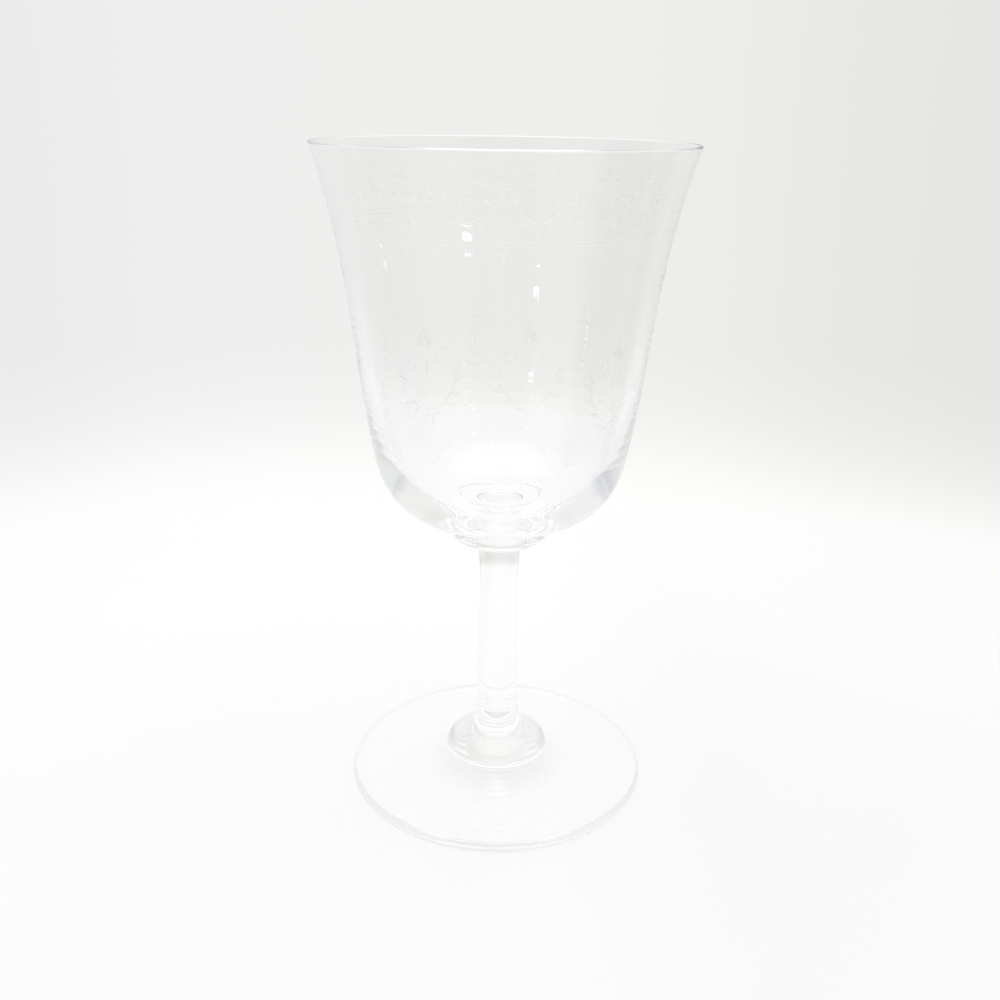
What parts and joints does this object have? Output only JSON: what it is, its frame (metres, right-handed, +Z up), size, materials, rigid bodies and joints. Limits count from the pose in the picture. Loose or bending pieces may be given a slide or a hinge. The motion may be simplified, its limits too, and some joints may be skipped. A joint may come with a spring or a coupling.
{
  "type": "stemmed wine glass",
  "caption": "Clear crystal wine glass: bell-shaped blown bowl with flared rim and etched ornament, collar, slim stem, ring, ball knop and round foot.",
  "frame": {"origin": "centre of the foot's underside, on the surface the glass stands on", "axes": "+Z up along the glass's axis of revolution; X and Y are free because the glass is round"},
  "size_m": [0.0862, 0.0862, 0.16],
  "materials": {
    "clear_crystal": "fire-polished gloss",
    "etched_crystal": "satin acid etch"
  },
  "bodies": {
    "root": {"bowl": "clear_crystal", "bowl_collar": "clear_crystal", "stem": "clear_crystal", "stem_ring": "clear_crystal", "foot_knop": "clear_crystal", "foot": "clear_crystal"}
  },
  "joints": []
}
